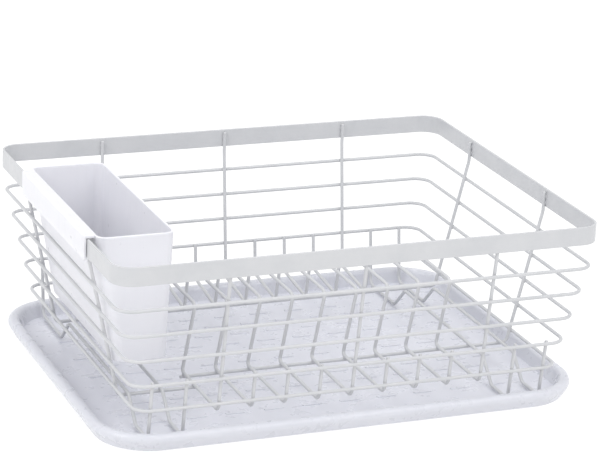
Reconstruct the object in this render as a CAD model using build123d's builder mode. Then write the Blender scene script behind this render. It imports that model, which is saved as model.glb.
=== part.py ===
"""Dish drying rack: a wire basket with plate dividers, a hung cutlery holder and a drip tray.

Millimetres, +Z up.  The origin is on the table under the middle of the tray, +X runs along the
long side towards the right, and the front of the rack faces -Y.
"""

import os

from build123d import *

# ---- driving dimensions -------------------------------------------------------------------

RIM_LENGTH = 430.0          # outside of the flat rim band, along X
RIM_DEPTH = 340.0           # outside of the flat rim band, along Y
RIM_TOP = 163.0             # top edge of the rim band above the table
BAND_HEIGHT = 16.0
BAND_THICKNESS = 2.0
RIM_CORNER = 18.0           # outer corner radius of the band

WIRE = 3.0                  # diameter of every round wire
WELD_BITE = 0.05            # how far two welded wires sink into each other

RING_COUNT = 5
RING_TOP_DROP = 38.0        # first ring, below the top of the rim
RING_PITCH = 23.0
RING_CORNER = 14.0
RING_5_HALF_LENGTH = 190.0
RING_5_HALF_DEPTH = 154.5

FLOOR_DROP = 7.6            # floor wires, below the lowest ring
FLOOR_BEND = 6.0            # centre-line radius where a wire turns into the floor

LENGTHWISE_COUNT = 13       # front-to-back wires
LENGTHWISE_PITCH = 29.5
HOOP_PLACES = (2, 6, 10)    # these front-to-back wires reach up to the rim
FOOT_PLACES = (0, 1, 11, 12)  # these have feet and no divider arch

ARCH_FRONT = -67.0          # front end of the crowns of the divider arches
ARCH_FRONT_FOOT = -62.0     # foot of their front leg, which leans forward
ARCH_CROWN_END = 12.0       # the level crown ends here and slopes down to the back leg
ARCH_BACK = 80.0            # back leg of the divider arches
ARCH_HEIGHT = 61.5          # crown above the floor wires
ARCH_BACK_HEIGHT = 33.0     # top of the back leg above the floor wires
ARCH_LEAN = 8.0             # the crowns stand this far to the right of their floor wires
ARCH_BACK_TOP_SHIFT = 4.0   # the top and foot of the back leg stand to the left of them
ARCH_BACK_FOOT_SHIFT = 7.0
ARCH_FOOT_BEND = 4.0
ARCH_BEND = 6.0
CROWN_END_BEND = 20.0

FRONT_HEEL_TOP = 96.0       # where the floor run turns down into the front foot
FRONT_HEEL = 117.0          # inner end of the low run that stands in the tray
BACK_HEEL_TOP = 70.0        # the same two places at the back
BACK_HEEL = 91.0
FOOT_BEND = 7.0

CROSS_SETBACK = 4.5         # the cross wires lie this far outside the feet of the arches
SIDE_WIRE_Y = -91.0         # short wire on the left side, in front of the cutlery holder

TRAY_LENGTH = 442.0
TRAY_DEPTH = 338.0
TRAY_HEIGHT = 15.0
TRAY_CORNER = 54.0
TRAY_DRAFT = 9.0            # how far the wall leans out from the table to the lip
TRAY_WALL = 2.4
TRAY_LIP = 12.0             # width of the rounded lip
TRAY_LIP_ROUND = 4.5
BASIN_DRAFT = 5.0           # how far the basin's wall leans out from its floor to the lip
HOLLOW_ROUND = 2.0
RIB_PITCH = 34.5            # along X; every other row is moved by half of it
RIB_ROW_PITCH = 21.6
RIB_LONG_ROW = 11           # ribs in a row, and one fewer in the rows between
RIB_LONG_ROWS = 5
RIB_LENGTH = 18.0
RIB_WIDTH = 4.0
RIB_HEIGHT = 0.7

HOLDER_FRONT = -104.0
HOLDER_BACK = 92.0
HOLDER_RIGHT = -142.0
HOLDER_TOP = 166.0
HOLDER_BOTTOM = 54.0
HOLDER_WALL = 2.0
HOLDER_CORNER = 9.0
HOLDER_TAPER = 7.0          # how far the end walls lean in towards the bottom
HOLDER_RIM_ROUND = 0.8      # rounding of its top edges
HOOK_DEPTH = 21.0           # outside flange of the holder, down from its top
FIT_GAP = 0.5               # clearance where the holder hangs on the band
HOLDER_SLOT_COUNT = 5
HOLDER_SLOT_PITCH = 30.0
HOLDER_SLOT_LENGTH = 26.0
HOLDER_SLOT_WIDTH = 4.0

STAND_GAP = 0.3             # clearance between the feet and the ribs they stand on

# ---- derived dimensions -------------------------------------------------------------------

RADIUS = WIRE / 2
WELD_STEP = WIRE - WELD_BITE
RING_5_Z = RIM_TOP - RING_TOP_DROP - RING_PITCH * (RING_COUNT - 1)
FLOOR_Z = RING_5_Z - FLOOR_DROP
CROSS_Z = FLOOR_Z - WELD_STEP
FRONT_CROSS_Y = ARCH_FRONT_FOOT - CROSS_SETBACK
BACK_CROSS_Y = ARCH_BACK + CROSS_SETBACK
SHORT_TOP_Z = RING_5_Z + RING_PITCH + RADIUS
WIRE_TOP_Z = RIM_TOP - 3.0
KNEE_Z = RIM_TOP - BAND_HEIGHT - 4.0
KNEE_BEND = 20.0
FOOT_Z = TRAY_WALL + RIB_HEIGHT + STAND_GAP + RADIUS
BAND_INSIDE_X = RIM_LENGTH / 2 - BAND_THICKNESS
BAND_INSIDE_Y = RIM_DEPTH / 2 - BAND_THICKNESS
UPRIGHT_5_X = RING_5_HALF_LENGTH - WELD_STEP
UPRIGHT_5_Y = RING_5_HALF_DEPTH - WELD_STEP
UPRIGHT_TOP_X = BAND_INSIDE_X - RADIUS + WELD_BITE
UPRIGHT_TOP_Y = BAND_INSIDE_Y - RADIUS + WELD_BITE
SLOPE_X = (UPRIGHT_TOP_X - UPRIGHT_5_X) / (KNEE_Z - RING_5_Z)
SLOPE_Y = (UPRIGHT_TOP_Y - UPRIGHT_5_Y) / (KNEE_Z - RING_5_Z)


def upright_x(z):
    """Distance from the middle to an upright wire on a short side, at height z."""
    return UPRIGHT_5_X + (min(z, KNEE_Z) - RING_5_Z) * SLOPE_X


def upright_y(z):
    """Distance from the middle to an upright wire on a long side, at height z."""
    return UPRIGHT_5_Y + (min(z, KNEE_Z) - RING_5_Z) * SLOPE_Y


def lengthwise_x(place):
    """X of one of the front-to-back wires, counted from the left."""
    return (place - (LENGTHWISE_COUNT - 1) / 2) * LENGTHWISE_PITCH


def wire_along(points, radii):
    """A round wire along straight runs joined by tangent bends."""
    with BuildPart() as wire:
        with BuildLine() as path:
            FilletPolyline(*points, radius=radii)
        with BuildSketch(Plane(origin=path.line @ 0, z_dir=path.line % 0)):
            Circle(RADIUS)
        sweep()
    return wire.part


def save(piece, label):
    """Label a finished piece and write it as its own STEP file."""
    piece.label = label
    export_step(piece, f"parts/{label}.step")


# ---- rim band and rings -------------------------------------------------------------------

def make_rim_band():
    """Flat steel strip bent into a rounded rectangle, standing on edge."""
    with BuildPart() as rim_band:
        with BuildSketch(Plane.XY.offset(RIM_TOP - BAND_HEIGHT)):
            RectangleRounded(RIM_LENGTH, RIM_DEPTH, RIM_CORNER)
            RectangleRounded(2 * BAND_INSIDE_X, 2 * BAND_INSIDE_Y, RIM_CORNER - BAND_THICKNESS,
                             mode=Mode.SUBTRACT)
        extrude(amount=BAND_HEIGHT)
        fillet(rim_band.edges().filter_by(Plane.XY), 0.5)
    return rim_band.part


def make_ring(number):
    """Closed ring of round wire, number 1 at the top; it lies outside the uprights."""
    z = RIM_TOP - RING_TOP_DROP - RING_PITCH * (number - 1)
    half_x = upright_x(z) + WELD_STEP
    half_y = upright_y(z) + WELD_STEP
    with BuildPart() as ring:
        with BuildLine(Plane.XY.offset(z)) as path:
            FilletPolyline((-half_x, -half_y), (half_x, -half_y), (half_x, half_y),
                           (-half_x, half_y), radius=RING_CORNER, close=True)
        with BuildSketch(Plane(origin=path.line @ 0, z_dir=path.line % 0)):
            Circle(RADIUS)
        sweep()
    return ring.part


# ---- front-to-back wires ------------------------------------------------------------------

def make_divider_wire(place, reaches_rim):
    """Wire down the front, along the floor, over the divider arch and up the back."""
    x = lengthwise_x(place)
    crown_x = x + ARCH_LEAN
    crown_z = FLOOR_Z + ARCH_HEIGHT
    foot_y = upright_y(FLOOR_Z)
    points = [
        (x, -foot_y, FLOOR_Z),
        (x, ARCH_FRONT_FOOT, FLOOR_Z),
        (crown_x, ARCH_FRONT, crown_z),
        (crown_x, ARCH_CROWN_END, crown_z),
        (x - ARCH_BACK_TOP_SHIFT, ARCH_BACK, FLOOR_Z + ARCH_BACK_HEIGHT),
        (x - ARCH_BACK_FOOT_SHIFT, ARCH_BACK, FLOOR_Z),
        (x, foot_y, FLOOR_Z),
    ]
    radii = [FLOOR_BEND, ARCH_FOOT_BEND, ARCH_BEND, CROWN_END_BEND,
             ARCH_BEND, ARCH_FOOT_BEND, FLOOR_BEND]
    if reaches_rim:
        top_y = upright_y(WIRE_TOP_Z)
        front_end = [(x, -top_y, WIRE_TOP_Z), (x, -top_y, KNEE_Z)]
        back_end = [(x, top_y, KNEE_Z), (x, top_y, WIRE_TOP_Z)]
        radii = [KNEE_BEND] + radii + [KNEE_BEND]
    else:
        front_end = [(x, -upright_y(SHORT_TOP_Z), SHORT_TOP_Z)]
        back_end = [(x, upright_y(SHORT_TOP_Z), SHORT_TOP_Z)]
    return wire_along(front_end + points + back_end, radii)


def make_foot_wire(place):
    """Wire whose ends drop into a long low foot at the front and at the back."""
    x = lengthwise_x(place)
    top_y = upright_y(SHORT_TOP_Z)
    foot_y = upright_y(FOOT_Z)
    points = [
        (x, -top_y, SHORT_TOP_Z),
        (x, -foot_y, FOOT_Z),
        (x, -FRONT_HEEL, FOOT_Z),
        (x, -FRONT_HEEL_TOP, FLOOR_Z),
        (x, BACK_HEEL_TOP, FLOOR_Z),
        (x, BACK_HEEL, FOOT_Z),
        (x, foot_y, FOOT_Z),
        (x, top_y, SHORT_TOP_Z),
    ]
    return wire_along(points, 6 * [FOOT_BEND])


# ---- wires across the basket --------------------------------------------------------------

def make_back_cross_wire():
    """Wire from the rim down both short sides and under the floor behind the arches."""
    side_x = upright_x(CROSS_Z)
    top_x = upright_x(WIRE_TOP_Z)
    points = [
        (-top_x, BACK_CROSS_Y, WIRE_TOP_Z),
        (-top_x, BACK_CROSS_Y, KNEE_Z),
        (-side_x, BACK_CROSS_Y, CROSS_Z),
        (side_x, BACK_CROSS_Y, CROSS_Z),
        (top_x, BACK_CROSS_Y, KNEE_Z),
        (top_x, BACK_CROSS_Y, WIRE_TOP_Z),
    ]
    return wire_along(points, [KNEE_BEND, FLOOR_BEND, FLOOR_BEND, KNEE_BEND])


def make_front_cross_wire():
    """Wire from the rim down the right side and under the floor in front of the arches."""
    side_x = upright_x(CROSS_Z)
    points = [
        (lengthwise_x(2) - WIRE, FRONT_CROSS_Y, CROSS_Z),
        (side_x, FRONT_CROSS_Y, CROSS_Z),
        (upright_x(KNEE_Z), FRONT_CROSS_Y, KNEE_Z),
        (upright_x(KNEE_Z), FRONT_CROSS_Y, WIRE_TOP_Z),
    ]
    return wire_along(points, [FLOOR_BEND, KNEE_BEND])


def make_left_side_wire():
    """Short wire down the left side in front of the cutlery holder, and under the first wires."""
    side_x = upright_x(CROSS_Z)
    points = [
        (-upright_x(KNEE_Z), SIDE_WIRE_Y, WIRE_TOP_Z),
        (-upright_x(KNEE_Z), SIDE_WIRE_Y, KNEE_Z),
        (-side_x, SIDE_WIRE_Y, CROSS_Z),
        (lengthwise_x(2) + WIRE, SIDE_WIRE_Y, CROSS_Z),
    ]
    return wire_along(points, [KNEE_BEND, FLOOR_BEND])


# ---- cutlery holder -----------------------------------------------------------------------

def holder_section(z, inset):
    """Corners of the holder's outline at height z: left, right, front, back, moved in by inset."""
    share = (HOLDER_TOP - z) / (HOLDER_TOP - HOLDER_BOTTOM)
    left = -upright_x(z) + RADIUS + 1.2
    left = max(left, -BAND_INSIDE_X + FIT_GAP)
    right = HOLDER_RIGHT - 1.5 * share
    front = HOLDER_FRONT + HOLDER_TAPER * share
    back = HOLDER_BACK - HOLDER_TAPER * share
    return left + inset, right - inset, front + inset, back - inset


def holder_block(inset, top, bottom):
    """Solid tapered box between two heights, the holder's outline moved in by inset."""
    with BuildPart() as block:
        for z in (bottom, top):
            left, right, front, back = holder_section(z, inset)
            with BuildSketch(Plane.XY.offset(z)):
                with Locations(((left + right) / 2, (front + back) / 2)):
                    RectangleRounded(right - left, back - front, HOLDER_CORNER - inset)
        loft()
    return block.part


def make_cutlery_holder():
    """Open box that hangs on the left side of the rim by a hook as long as the box."""
    top_left, top_right, top_front, top_back = holder_section(HOLDER_TOP, 0)
    hook_outside = -RIM_LENGTH / 2 - FIT_GAP - HOLDER_WALL
    hook_length = top_back - top_front - 2 * HOLDER_CORNER
    hook_middle = (top_back + top_front) / 2
    with BuildPart() as cutlery_holder:
        add(holder_block(0, HOLDER_TOP, HOLDER_BOTTOM))
        add(holder_block(HOLDER_WALL, HOLDER_TOP, HOLDER_BOTTOM + HOLDER_WALL), mode=Mode.SUBTRACT)
        with BuildSketch(Plane.XZ.offset(-hook_middle)):
            with BuildLine():
                Polyline((top_left + HOLDER_WALL, HOLDER_TOP),
                         (hook_outside, HOLDER_TOP),
                         (hook_outside, HOLDER_TOP - HOOK_DEPTH),
                         (hook_outside + HOLDER_WALL, HOLDER_TOP - HOOK_DEPTH),
                         (hook_outside + HOLDER_WALL, RIM_TOP + FIT_GAP),
                         (top_left + HOLDER_WALL, RIM_TOP + FIT_GAP),
                         close=True)
            make_face()
        extrude(amount=hook_length / 2, both=True)
        left, right, front, back = holder_section(HOLDER_BOTTOM, 0)
        with BuildSketch(Plane.XY.offset(HOLDER_BOTTOM)):
            with Locations(((left + right) / 2, (front + back) / 2)):
                with GridLocations(0, HOLDER_SLOT_PITCH, 1, HOLDER_SLOT_COUNT):
                    SlotOverall(HOLDER_SLOT_LENGTH, HOLDER_SLOT_WIDTH)
        extrude(amount=HOLDER_WALL, mode=Mode.SUBTRACT)
        fillet(cutlery_holder.edges().filter_by(Plane.XY).group_by(Axis.Z)[-1], HOLDER_RIM_ROUND)
    return cutlery_holder.part


# ---- drip tray ----------------------------------------------------------------------------

def tray_block(rise, moved_in):
    """Solid inside the tray's outer face up to height rise, moved in on all sides."""
    spread = TRAY_DRAFT * rise / TRAY_HEIGHT
    corner = TRAY_CORNER - TRAY_DRAFT - moved_in
    length = TRAY_LENGTH - 2 * (TRAY_DRAFT + moved_in)
    depth = TRAY_DEPTH - 2 * (TRAY_DRAFT + moved_in)
    with BuildPart() as block:
        with BuildSketch(Plane.XY):
            RectangleRounded(length, depth, corner)
        with BuildSketch(Plane.XY.offset(rise)):
            RectangleRounded(length + 2 * spread, depth + 2 * spread, corner + spread)
        loft()
    return block.part


def basin_block(bottom, rise, moved_out):
    """Solid that fills the tray's basin between two heights, moved out on all sides."""
    corner = TRAY_CORNER - TRAY_LIP - BASIN_DRAFT + moved_out
    length = TRAY_LENGTH - 2 * (TRAY_LIP + BASIN_DRAFT - moved_out)
    depth = TRAY_DEPTH - 2 * (TRAY_LIP + BASIN_DRAFT - moved_out)
    with BuildPart() as block:
        with BuildSketch(Plane.XY.offset(bottom)):
            RectangleRounded(length, depth, corner)
        with BuildSketch(Plane.XY.offset(rise)):
            RectangleRounded(length + 2 * BASIN_DRAFT, depth + 2 * BASIN_DRAFT, corner + BASIN_DRAFT)
        loft()
    return block.part


def make_drip_tray():
    """Thin moulded tray: leaning walls, a rounded lip hollow underneath, short ribs on the floor."""
    with BuildPart() as drip_tray:
        add(tray_block(TRAY_HEIGHT, 0))
        add(basin_block(TRAY_WALL, TRAY_HEIGHT, 0), mode=Mode.SUBTRACT)
        lip_edges = drip_tray.edges().group_by(Axis.Z)[-1]
        fillet(lip_edges, TRAY_LIP_ROUND)
        with BuildSketch(Plane.XY.offset(TRAY_WALL)):
            with GridLocations(RIB_PITCH, 2 * RIB_ROW_PITCH, RIB_LONG_ROW, RIB_LONG_ROWS):
                SlotOverall(RIB_LENGTH, RIB_WIDTH)
            with GridLocations(RIB_PITCH, 2 * RIB_ROW_PITCH, RIB_LONG_ROW - 1, RIB_LONG_ROWS + 1):
                SlotOverall(RIB_LENGTH, RIB_WIDTH)
        extrude(amount=RIB_HEIGHT)
        add(lip_hollow(), mode=Mode.SUBTRACT)
    return drip_tray.part


def lip_hollow():
    """The space under the lip, between the outer wall and the wall of the basin."""
    top = TRAY_HEIGHT - TRAY_WALL
    with BuildPart() as hollow:
        add(tray_block(top, TRAY_WALL))
        add(basin_block(0, TRAY_HEIGHT, TRAY_WALL), mode=Mode.SUBTRACT)
        fillet(hollow.edges().group_by(Axis.Z)[-1], HOLLOW_ROUND)
    return hollow.part


# ---- write the pieces ---------------------------------------------------------------------

os.makedirs("parts", exist_ok=True)

save(make_drip_tray(), "drip_tray")
save(make_rim_band(), "rim_band")
for number in range(1, RING_COUNT + 1):
    save(make_ring(number), f"ring_wire_{number}")

hoop_number = 0
divider_number = 0
foot_number = 0
for place in range(LENGTHWISE_COUNT):
    if place in FOOT_PLACES:
        foot_number += 1
        save(make_foot_wire(place), f"foot_wire_{foot_number}")
    elif place in HOOP_PLACES:
        hoop_number += 1
        save(make_divider_wire(place, True), f"hoop_wire_{hoop_number}")
    else:
        divider_number += 1
        save(make_divider_wire(place, False), f"divider_wire_{divider_number}")

save(make_back_cross_wire(), "back_cross_wire")
save(make_front_cross_wire(), "front_cross_wire")
save(make_left_side_wire(), "left_side_wire")
save(make_cutlery_holder(), "cutlery_holder")
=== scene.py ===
"""Dish drying rack: procedural materials, weld details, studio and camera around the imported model."""

import math

import bmesh
import bpy
from mathutils import Matrix, Vector


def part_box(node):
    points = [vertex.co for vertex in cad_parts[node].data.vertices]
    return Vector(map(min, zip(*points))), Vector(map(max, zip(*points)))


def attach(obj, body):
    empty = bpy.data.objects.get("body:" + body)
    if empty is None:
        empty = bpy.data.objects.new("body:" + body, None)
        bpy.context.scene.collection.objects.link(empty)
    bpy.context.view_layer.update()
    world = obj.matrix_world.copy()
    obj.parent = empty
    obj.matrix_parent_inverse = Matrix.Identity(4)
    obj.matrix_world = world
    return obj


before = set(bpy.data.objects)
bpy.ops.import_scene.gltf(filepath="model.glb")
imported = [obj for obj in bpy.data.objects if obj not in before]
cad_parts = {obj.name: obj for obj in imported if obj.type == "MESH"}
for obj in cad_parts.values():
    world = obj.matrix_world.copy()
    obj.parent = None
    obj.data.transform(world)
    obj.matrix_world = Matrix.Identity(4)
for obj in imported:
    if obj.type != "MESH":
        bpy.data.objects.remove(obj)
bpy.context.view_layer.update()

# ---- shader helpers -----------------------------------------------------------------------


def make_material(name):
    """New node material; returns it with its node tree and its main shader."""
    material = bpy.data.materials.new(name)
    material.use_nodes = True
    tree = material.node_tree
    return material, tree, tree.nodes["Principled BSDF"]


def add_node(tree, kind, **values):
    """New shader node with these input values; a space in a socket's name is written as _."""
    made = tree.nodes.new(kind)
    for name, value in values.items():
        made.inputs[name.replace("_", " ")].default_value = value
    return made


def set_inputs(shader, **values):
    """Sets inputs of a shader that are the same all over the surface."""
    for name, value in values.items():
        shader.inputs[name.replace("_", " ")].default_value = value


def object_space(tree, stretch=(1, 1, 1), turn=(0, 0, 0)):
    """Coordinates in metres that move with the piece, stretched and turned."""
    source = tree.nodes.new("ShaderNodeTexCoord")
    mapping = add_node(tree, "ShaderNodeMapping", Scale=stretch, Rotation=turn)
    tree.links.new(source.outputs["Object"], mapping.inputs["Vector"])
    return mapping.outputs["Vector"]


def noise(tree, where, scale, detail=3.0, roughness=0.5, distortion=0.0):
    """Soft noise, about 0.5 on average; scale is in features per metre."""
    made = add_node(tree, "ShaderNodeTexNoise", Scale=scale, Detail=detail, Roughness=roughness,
                    Distortion=distortion)
    tree.links.new(where, made.inputs["Vector"])
    return made.outputs[0]


def cells(tree, where, scale):
    """Distance to the nearest of many scattered points."""
    made = add_node(tree, "ShaderNodeTexVoronoi", Scale=scale)
    tree.links.new(where, made.inputs["Vector"])
    return made.outputs["Distance"]


def spread(tree, value, bottom, top, low, high):
    """value, from bottom to top, becomes low to high."""
    made = add_node(tree, "ShaderNodeMapRange", From_Min=bottom, From_Max=top, To_Min=low, To_Max=high)
    tree.links.new(value, made.inputs["Value"])
    return made.outputs[0]


def combine(tree, operation, first, second):
    """first and second joined by a maths operation; second may be a number."""
    made = tree.nodes.new("ShaderNodeMath")
    made.operation = operation
    tree.links.new(first, made.inputs[0])
    if isinstance(second, (int, float)):
        made.inputs[1].default_value = second
    else:
        tree.links.new(second, made.inputs[1])
    return made.outputs[0]


def ramp(tree, value, stops):
    """Colour ramp through (place, colour) stops."""
    made = tree.nodes.new("ShaderNodeValToRGB")
    elements = made.color_ramp.elements
    elements[0].position, elements[1].position = stops[0][0], stops[-1][0]
    elements[0].color, elements[1].color = (*stops[0][1], 1), (*stops[-1][1], 1)
    for place, colour in stops[1:-1]:
        elements.new(place).color = (*colour, 1)
    tree.links.new(value, made.inputs[0])
    return made.outputs[0]


def tinted(tree, colour, amount, tint):
    """colour, moved towards tint where amount is high."""
    made = tree.nodes.new("ShaderNodeMix")
    made.data_type = "RGBA"
    tree.links.new(amount, made.inputs[0])
    tree.links.new(colour, made.inputs[6])
    made.inputs[7].default_value = (*tint, 1)
    return made.outputs[2]


def bump(tree, height, strength, distance, under=None):
    """Normal of a relief of that height in metres, on top of the normal under it."""
    made = add_node(tree, "ShaderNodeBump", Strength=strength, Distance=distance)
    tree.links.new(height, made.inputs["Height"])
    if under is not None:
        tree.links.new(under, made.inputs["Normal"])
    return made.outputs["Normal"]


def soft_edges(tree, radius):
    """Normal that rounds sharp edges in the shading."""
    made = add_node(tree, "ShaderNodeBevel", Radius=radius)
    made.samples = 4
    return made.outputs["Normal"]


def finish_surface(tree, shader, colour, roughness, normal):
    """Links what varies over a surface to its shader."""
    tree.links.new(colour, shader.inputs["Base Color"])
    tree.links.new(roughness, shader.inputs["Roughness"])
    tree.links.new(normal, shader.inputs["Normal"])


# ---- materials of the rack ----------------------------------------------------------------


def powder_coat():
    """White powder coat on steel: fine orange peel, cloudy thickness, a few dull rubbed places."""
    material, tree, shader = make_material("powder_coat")
    where = object_space(tree)
    cloud = noise(tree, where, 38, 4, 0.6)
    colour = ramp(tree, cloud, [(0.3, (0.535, 0.543, 0.56)), (0.5, (0.562, 0.568, 0.583)),
                                (0.7, (0.582, 0.586, 0.6))])
    specks = spread(tree, noise(tree, where, 900, 2), 0.64, 0.74, 0, 0.35)
    colour = tinted(tree, colour, specks, (0.47, 0.475, 0.49))
    rubbed = noise(tree, where, 120, 4, 0.65, 0.6)
    roughness = spread(tree, rubbed, 0.35, 0.7, 0.3, 0.5)
    normal = bump(tree, noise(tree, where, 60, 2), 0.5, 0.0003, soft_edges(tree, 0.0004))
    normal = bump(tree, noise(tree, where, 750, 3, 0.55), 0.45, 0.00012, normal)
    finish_surface(tree, shader, colour, roughness, normal)
    set_inputs(shader, IOR=1.5, Coat_Weight=0.12, Coat_Roughness=0.22)
    return material


def weld_coat():
    """Powder coat where it has flowed over a weld: thicker, greyer and lumpier."""
    material, tree, shader = make_material("weld_coat")
    where = object_space(tree)
    colour = ramp(tree, noise(tree, where, 320, 3), [(0.3, (0.50, 0.505, 0.52)),
                                                     (0.7, (0.565, 0.57, 0.585))])
    roughness = spread(tree, noise(tree, where, 500, 3), 0.3, 0.7, 0.32, 0.55)
    normal = bump(tree, noise(tree, where, 650, 3, 0.6), 0.6, 0.0003)
    finish_surface(tree, shader, colour, roughness, normal)
    set_inputs(shader, IOR=1.5, Coat_Weight=0.1, Coat_Roughness=0.25)
    return material


def water_marks(tree, where, scale):
    """Dried drop marks: thin rings round scattered points, in patches."""
    bent = noise(tree, where, 60, 3)
    reach = combine(tree, "ADD", cells(tree, where, scale), combine(tree, "MULTIPLY", bent, 0.25))
    outer = spread(tree, reach, 0.38, 0.46, 1, 0)
    inner = spread(tree, reach, 0.26, 0.38, 0, 1)
    patches = spread(tree, noise(tree, where, 13, 2), 0.54, 0.68, 0, 1)
    return combine(tree, "MULTIPLY", combine(tree, "MULTIPLY", outer, inner), patches)


def scratches(tree, turn):
    """Long thin scuffs in one direction, in patches."""
    along = object_space(tree, (14, 520, 60), (0, 0, turn))
    lines = spread(tree, noise(tree, along, 1.0, 3, 0.55), 0.64, 0.76, 0, 1)
    patches = spread(tree, noise(tree, object_space(tree), 22, 2), 0.54, 0.7, 0, 1)
    return combine(tree, "MULTIPLY", lines, patches)


def moulded_tray():
    """Milky moulded plastic with a cool cast, fine satin grain, scuffs and dried water marks."""
    material, tree, shader = make_material("moulded_tray")
    where = object_space(tree)
    colour = ramp(tree, noise(tree, where, 11, 4, 0.55), [(0.3, (0.63, 0.638, 0.692)),
                                                         (0.7, (0.655, 0.662, 0.712))])
    marks = water_marks(tree, where, 55)
    colour = tinted(tree, colour, combine(tree, "MULTIPLY", marks, 0.12), (0.78, 0.78, 0.80))
    scuffs = combine(tree, "MAXIMUM", scratches(tree, 0.4), scratches(tree, -0.9))
    roughness = spread(tree, noise(tree, where, 70, 4, 0.6), 0.3, 0.7, 0.24, 0.36)
    roughness = combine(tree, "ADD", roughness, combine(tree, "MULTIPLY", marks, 0.05))
    roughness = combine(tree, "ADD", roughness, combine(tree, "MULTIPLY", scuffs, 0.07))
    normal = bump(tree, noise(tree, where, 17, 2), 0.3, 0.0006)
    normal = bump(tree, noise(tree, where, 1500, 2), 0.25, 0.00006, normal)
    finish_surface(tree, shader, colour, roughness, normal)
    set_inputs(shader, IOR=1.49, Subsurface_Weight=0.55, Subsurface_Radius=(1.0, 0.98, 0.96),
               Subsurface_Scale=0.006)
    return material


def moulded_holder():
    """Milky white moulded plastic: satin grain, faint run marks down the walls, soft shine."""
    material, tree, shader = make_material("moulded_holder")
    where = object_space(tree)
    colour = ramp(tree, noise(tree, where, 16, 4, 0.6), [(0.3, (0.755, 0.755, 0.797)),
                                                        (0.7, (0.782, 0.782, 0.82))])
    runs = spread(tree, noise(tree, object_space(tree, (170, 170, 9)), 1.0, 3, 0.5), 0.56, 0.7, 0, 1)
    colour = tinted(tree, colour, combine(tree, "MULTIPLY", runs, 0.12), (0.70, 0.705, 0.74))
    marks = water_marks(tree, where, 75)
    roughness = spread(tree, noise(tree, where, 90, 4, 0.6), 0.3, 0.7, 0.27, 0.4)
    roughness = combine(tree, "ADD", roughness, combine(tree, "MULTIPLY", runs, 0.12))
    roughness = combine(tree, "ADD", roughness, combine(tree, "MULTIPLY", marks, 0.05))
    normal = bump(tree, noise(tree, where, 24, 2), 0.3, 0.0006, soft_edges(tree, 0.0009))
    normal = bump(tree, noise(tree, where, 1700, 2), 0.25, 0.00006, normal)
    finish_surface(tree, shader, colour, roughness, normal)
    set_inputs(shader, IOR=1.49, Subsurface_Weight=0.5, Subsurface_Radius=(1.0, 0.98, 0.97),
               Subsurface_Scale=0.004)
    return material


MATERIALS = {"wire_coating": powder_coat(), "tray_plastic": moulded_tray(),
             "holder_plastic": moulded_holder()}


def dress(node):
    """Gives a CAD node the material of its part of the rack."""
    name = {"drip_tray": "tray_plastic", "cutlery_holder": "holder_plastic"}.get(node, "wire_coating")
    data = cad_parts[node].data
    data.materials.clear()
    data.materials.append(MATERIALS[name])


# ---- welds and wire ends ------------------------------------------------------------------

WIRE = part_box("foot_wire_1")[1][0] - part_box("foot_wire_1")[0][0]
RADIUS = WIRE / 2
WIRE_COUNT = 13                         # front-to-back wires, counted from the left
HOOPS = (2, 6, 10)                      # these reach up to the rim
FEET = (0, 1, 11, 12)                   # these have feet, and no arch
FIRST_SHORT_RING = 4                    # the wires that aren't hoops start at this ring
RINGS = [f"ring_wire_{number}" for number in range(1, 6)]
BAND_THICKNESS = 0.002
BACK_LEAN = 0.0066                      # floor wires lie this far left at the back cross wire
SIDE_WIRE_LAST = 2                      # last wire over left_side_wire, and first over front_cross_wire
RIM_WELD_DROPS = (0.0035, 0.0095)       # spot welds, below the top ends of the wires
END_TILT = 0.0003                       # the short wires' slanted ends rise this much at the edge
BEAD_STEPS = 14                         # corners round a bead, and bands from end to end
BEAD_BANDS = 9
BEAD_UNEVEN = 0.07
WELD_BEAD = (0.0017, 0.0014)            # half width and half height of each kind of bead
RIM_BEAD = (0.0019, 0.0009)
END_BEAD = (0.0015, 0.0009)


def wire_x(place):
    """X of a front-to-back wire, counted from the left."""
    first = sum(corner[0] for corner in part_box("foot_wire_1")) / 2
    last = sum(corner[0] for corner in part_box("foot_wire_4")) / 2
    return first + (last - first) * place / (WIRE_COUNT - 1)


def middle(node, axis):
    """Middle of a CAD node along one axis."""
    low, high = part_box(node)
    return (low[axis] + high[axis]) / 2


def ring_welds():
    """Where the uprights are welded to the inside of the rings: (place, outward direction)."""
    spots = []
    for number, ring in enumerate(RINGS, 1):
        low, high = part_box(ring)
        z = middle(ring, 2)
        for place in range(WIRE_COUNT):
            if place in HOOPS or number >= FIRST_SHORT_RING:
                spots.append(((wire_x(place), low[1] + WIRE, z), (0, -1, 0)))
                spots.append(((wire_x(place), high[1] - WIRE, z), (0, 1, 0)))
        spots.append(((low[0] + WIRE, middle("back_cross_wire", 1), z), (-1, 0, 0)))
        spots.append(((high[0] - WIRE, middle("back_cross_wire", 1), z), (1, 0, 0)))
        spots.append(((high[0] - WIRE, middle("front_cross_wire", 1), z), (1, 0, 0)))
        spots.append(((low[0] + WIRE, middle("left_side_wire", 1), z), (-1, 0, 0)))
    return spots


def floor_welds():
    """Where the floor wires are welded on top of the cross wires."""
    spots = []
    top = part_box("back_cross_wire")[0][2] + WIRE
    for place in range(WIRE_COUNT):
        if place not in FEET:
            spots.append(((wire_x(place) - BACK_LEAN, middle("back_cross_wire", 1), top), (0, 0, 1)))
        if place >= SIDE_WIRE_LAST:
            spots.append(((wire_x(place), middle("front_cross_wire", 1), top), (0, 0, 1)))
        if place <= SIDE_WIRE_LAST:
            spots.append(((wire_x(place), middle("left_side_wire", 1), top), (0, 0, 1)))
    return spots


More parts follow.
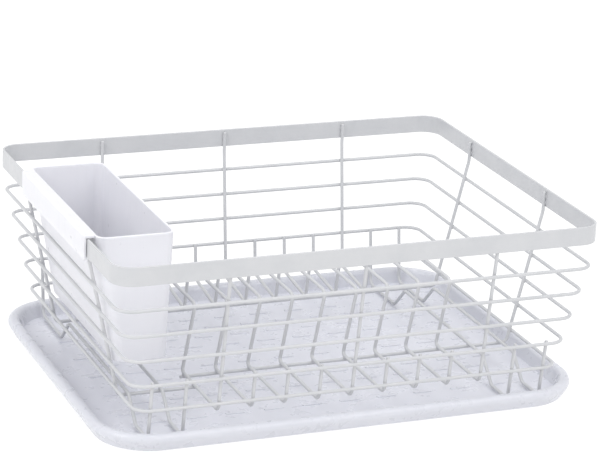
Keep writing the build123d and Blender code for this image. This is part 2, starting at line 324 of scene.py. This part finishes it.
def rim_welds():
    """Where the tall uprights are spot-welded to the inside of the rim band, two spots each."""
    low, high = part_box("rim_band")
    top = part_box("hoop_wire_1")[1][2]
    spots = []
    for drop in RIM_WELD_DROPS:
        z = top - drop
        for place in HOOPS:
            spots.append(((wire_x(place), low[1] + BAND_THICKNESS, z), (0, -1, 0)))
            spots.append(((wire_x(place), high[1] - BAND_THICKNESS, z), (0, 1, 0)))
        spots.append(((low[0] + BAND_THICKNESS, middle("back_cross_wire", 1), z), (-1, 0, 0)))
        spots.append(((high[0] - BAND_THICKNESS, middle("back_cross_wire", 1), z), (1, 0, 0)))
        spots.append(((high[0] - BAND_THICKNESS, middle("front_cross_wire", 1), z), (1, 0, 0)))
        spots.append(((low[0] + BAND_THICKNESS, middle("left_side_wire", 1), z), (-1, 0, 0)))
    return spots


def wire_ends():
    """Cut ends of the wires: (place, direction out of the end)."""
    ends = []
    short_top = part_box("foot_wire_1")[1][2] - END_TILT
    short_y = -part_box("foot_wire_1")[0][1] - RADIUS
    tall_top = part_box("hoop_wire_1")[1][2]
    tall_y = -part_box("hoop_wire_1")[0][1] - RADIUS
    for place in range(WIRE_COUNT):
        end_y, top = (tall_y, tall_top) if place in HOOPS else (short_y, short_top)
        ends.append(((wire_x(place), -end_y, top), (0, 0, 1)))
        ends.append(((wire_x(place), end_y, top), (0, 0, 1)))
    for node in ("back_cross_wire", "front_cross_wire"):
        low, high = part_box(node)
        ends.append(((high[0] - RADIUS, middle(node, 1), high[2]), (0, 0, 1)))
    for node in ("back_cross_wire", "left_side_wire"):
        low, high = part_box(node)
        ends.append(((low[0] + RADIUS, middle(node, 1), high[2]), (0, 0, 1)))
    low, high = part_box("front_cross_wire")
    ends.append(((low[0], middle("front_cross_wire", 1), low[2] + RADIUS), (-1, 0, 0)))
    low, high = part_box("left_side_wire")
    ends.append(((high[0], middle("left_side_wire", 1), low[2] + RADIUS), (1, 0, 0)))
    return ends


def add_bead(beads, place, direction, across, along):
    """Smooth bead of flowed coating, its axis along direction, slightly uneven like a real weld."""
    axis = Vector(direction)
    side = axis.orthogonal().normalized()
    other = axis.cross(side)
    centre = Vector(place)
    # where the unevenness starts differs from bead to bead, but is the same in every run
    wobble = (place[0] * 911.0 + place[1] * 577.0 + place[2] * 353.0) % 1.0
    rows = []
    for band in range(1, BEAD_BANDS):
        polar = math.pi * band / BEAD_BANDS
        row = []
        for step in range(BEAD_STEPS):
            angle = 2 * math.pi * step / BEAD_STEPS
            uneven = 1 + BEAD_UNEVEN * math.sin(3 * angle + 6.28 * wobble) * math.sin(polar)
            flat = side * math.cos(angle) + other * math.sin(angle)
            offset = flat * across * math.sin(polar) * uneven + axis * along * math.cos(polar)
            row.append(beads.verts.new(centre + offset))
        rows.append(row)
    first = beads.verts.new(centre + axis * along)
    last = beads.verts.new(centre - axis * along)
    for step in range(BEAD_STEPS):
        following = (step + 1) % BEAD_STEPS
        beads.faces.new((first, rows[0][step], rows[0][following]))
        beads.faces.new((last, rows[-1][following], rows[-1][step]))
        for above, below in zip(rows, rows[1:]):
            beads.faces.new((above[step], below[step], below[following], above[following]))


def make_beads(name, spots, across, along, material):
    """One piece with a bead at every spot; it moves with the basket."""
    beads = bmesh.new()
    for place, direction in spots:
        add_bead(beads, place, direction, across, along)
    for face in beads.faces:
        face.smooth = True
    data = bpy.data.meshes.new(name)
    beads.to_mesh(data)
    beads.free()
    data.materials.append(material)
    piece = bpy.data.objects.new(name, data)
    bpy.context.scene.collection.objects.link(piece)
    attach(piece, "basket")


# ---- camera and studio --------------------------------------------------------------------

CAMERA_PLACE = Vector((-0.8243, -1.9891, 0.8521))
CAMERA_YAW = math.radians(22.7457)      # to the right of +Y
CAMERA_PITCH = math.radians(18.656)     # below the horizon
CAMERA_ROLL = math.radians(2.7264)
CAMERA_LENS = 156.64
FLOOR_REACH = 6                         # from the middle to each side of the floor
LIGHT_TARGET = (0, 0, 0.05)


def make_camera():
    """Camera at the viewing angle of a product shot: from the front left, a little above."""
    forward = Vector((math.sin(CAMERA_YAW) * math.cos(CAMERA_PITCH),
                      math.cos(CAMERA_YAW) * math.cos(CAMERA_PITCH),
                      -math.sin(CAMERA_PITCH)))
    level = Vector((math.cos(CAMERA_YAW), -math.sin(CAMERA_YAW), 0.0))
    rise = level.cross(forward)
    right = level * math.cos(CAMERA_ROLL) + rise * math.sin(CAMERA_ROLL)
    up = rise * math.cos(CAMERA_ROLL) - level * math.sin(CAMERA_ROLL)
    turn = Matrix((right, up, -forward)).transposed().to_4x4()
    data = bpy.data.cameras.new("camera")
    data.lens = CAMERA_LENS
    data.sensor_width = 36.0
    camera = bpy.data.objects.new("camera", data)
    bpy.context.scene.collection.objects.link(camera)
    camera.matrix_world = Matrix.Translation(CAMERA_PLACE) @ turn
    bpy.context.scene.camera = camera


def make_floor():
    """Plain white sweep that glows a little, so that only a faint shadow shows under the tray."""
    data = bpy.data.meshes.new("floor")
    far = FLOOR_REACH
    data.from_pydata([(-far, -far, 0), (far, -far, 0), (far, far, 0), (-far, far, 0)], [], [(0, 1, 2, 3)])
    floor = bpy.data.objects.new("floor", data)
    bpy.context.scene.collection.objects.link(floor)
    material, tree, shader = make_material("floor_paper")
    where = object_space(tree)
    colour = ramp(tree, noise(tree, where, 6, 3), [(0.3, (0.34, 0.34, 0.34)), (0.7, (0.36, 0.36, 0.36))])
    roughness = spread(tree, noise(tree, where, 300, 2), 0.3, 0.7, 0.85, 0.95)
    normal = bump(tree, noise(tree, where, 900, 2), 0.2, 0.0001)
    finish_surface(tree, shader, colour, roughness, normal)
    set_inputs(shader, Specular_IOR_Level=0.0, Emission_Color=(1, 1, 1, 1), Emission_Strength=0.72)
    data.materials.append(material)


def make_light(name, place, target, width, height, power):
    """Soft rectangular light, aimed at target."""
    data = bpy.data.lights.new(name, "AREA")
    data.shape = "RECTANGLE"
    data.size = width
    data.size_y = height
    data.energy = power
    light = bpy.data.objects.new(name, data)
    bpy.context.scene.collection.objects.link(light)
    light.location = place
    light.rotation_mode = "QUATERNION"
    light.rotation_quaternion = (Vector(target) - Vector(place)).to_track_quat("-Z", "Y")


def make_world():
    """Even white surroundings, as in a light tent."""
    world = bpy.data.worlds.new("studio")
    world.use_nodes = True
    background = world.node_tree.nodes["Background"]
    background.inputs["Color"].default_value = (0.985, 0.99, 1, 1)
    background.inputs["Strength"].default_value = 0.86
    bpy.context.scene.world = world
    bpy.context.scene.view_settings.view_transform = "Standard"


# ---- put it together ----------------------------------------------------------------------

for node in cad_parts:
    dress(node)

coat_over_welds = weld_coat()
make_beads("ring_weld_beads", ring_welds(), *WELD_BEAD, coat_over_welds)
make_beads("floor_weld_beads", floor_welds(), *WELD_BEAD, coat_over_welds)
make_beads("rim_weld_beads", rim_welds(), *RIM_BEAD, coat_over_welds)
make_beads("wire_end_beads", wire_ends(), *END_BEAD, MATERIALS["wire_coating"])

make_camera()
make_floor()
make_world()
make_light("left_key", (-2.1, -0.7, 1.8), LIGHT_TARGET, 1.6, 1.6, 22)
make_light("front_fill", (0.9, -2.1, 2.2), LIGHT_TARGET, 2.0, 1.4, 20)
make_light("top_fill", (0.3, 0.2, 2.6), LIGHT_TARGET, 1.6, 1.6, 12)
